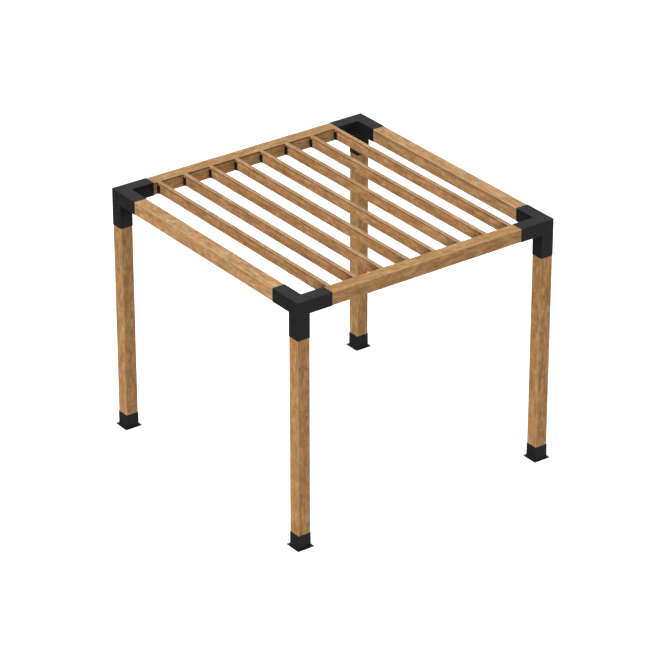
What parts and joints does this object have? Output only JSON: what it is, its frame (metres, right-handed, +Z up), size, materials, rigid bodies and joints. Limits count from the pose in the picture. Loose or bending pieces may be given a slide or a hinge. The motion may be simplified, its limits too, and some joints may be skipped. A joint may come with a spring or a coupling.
{
  "type": "wooden pergola",
  "caption": "Free-standing timber garden pergola in black steel corner brackets and post bases, open on all sides, with parallel rafters overhead for light shade.",
  "frame": {"origin": "on the ground, at the middle of the rectangle of posts", "axes": "+Z up; +Y runs along the rafters from the front beam to the back beam; +X runs along the front beam from left to right"},
  "size_m": [3.17, 3.23, 2.7],
  "materials": {
    "frame_timber": "planed softwood with a warm honey-brown outdoor oil, matt",
    "rafter_timber": "planed softwood with the same oil, a shade darker, matt",
    "black_steel": "matt black powder coat with a fine texture"
  },
  "bodies": {
    "root": {"post_front_left": "frame_timber", "post_front_right": "frame_timber", "post_back_right": "frame_timber", "post_back_left": "frame_timber", "beam_front": "frame_timber", "beam_back": "frame_timber", "beam_left": "frame_timber", "beam_right": "frame_timber", "rafter_1": "rafter_timber", "rafter_2": "rafter_timber", "rafter_3": "rafter_timber", "rafter_4": "rafter_timber", "rafter_5": "rafter_timber", "rafter_6": "rafter_timber", "rafter_7": "rafter_timber", "rafter_8": "rafter_timber", "corner_bracket_front_left": "black_steel", "corner_bracket_front_right": "black_steel", "corner_bracket_back_right": "black_steel", "corner_bracket_back_left": "black_steel", "post_base_front_left": "black_steel", "post_base_front_right": "black_steel", "post_base_back_right": "black_steel", "post_base_back_left": "black_steel", "rafter_shoe_front_1": "black_steel", "rafter_shoe_front_2": "black_steel", "rafter_shoe_front_3": "black_steel", "rafter_shoe_front_4": "black_steel", "rafter_shoe_front_5": "black_steel", "rafter_shoe_front_6": "black_steel", "rafter_shoe_front_7": "black_steel", "rafter_shoe_front_8": "black_steel", "rafter_shoe_back_1": "black_steel", "rafter_shoe_back_2": "black_steel", "rafter_shoe_back_3": "black_steel", "rafter_shoe_back_4": "black_steel", "rafter_shoe_back_5": "black_steel", "rafter_shoe_back_6": "black_steel", "rafter_shoe_back_7": "black_steel", "rafter_shoe_back_8": "black_steel"}
  },
  "joints": []
}
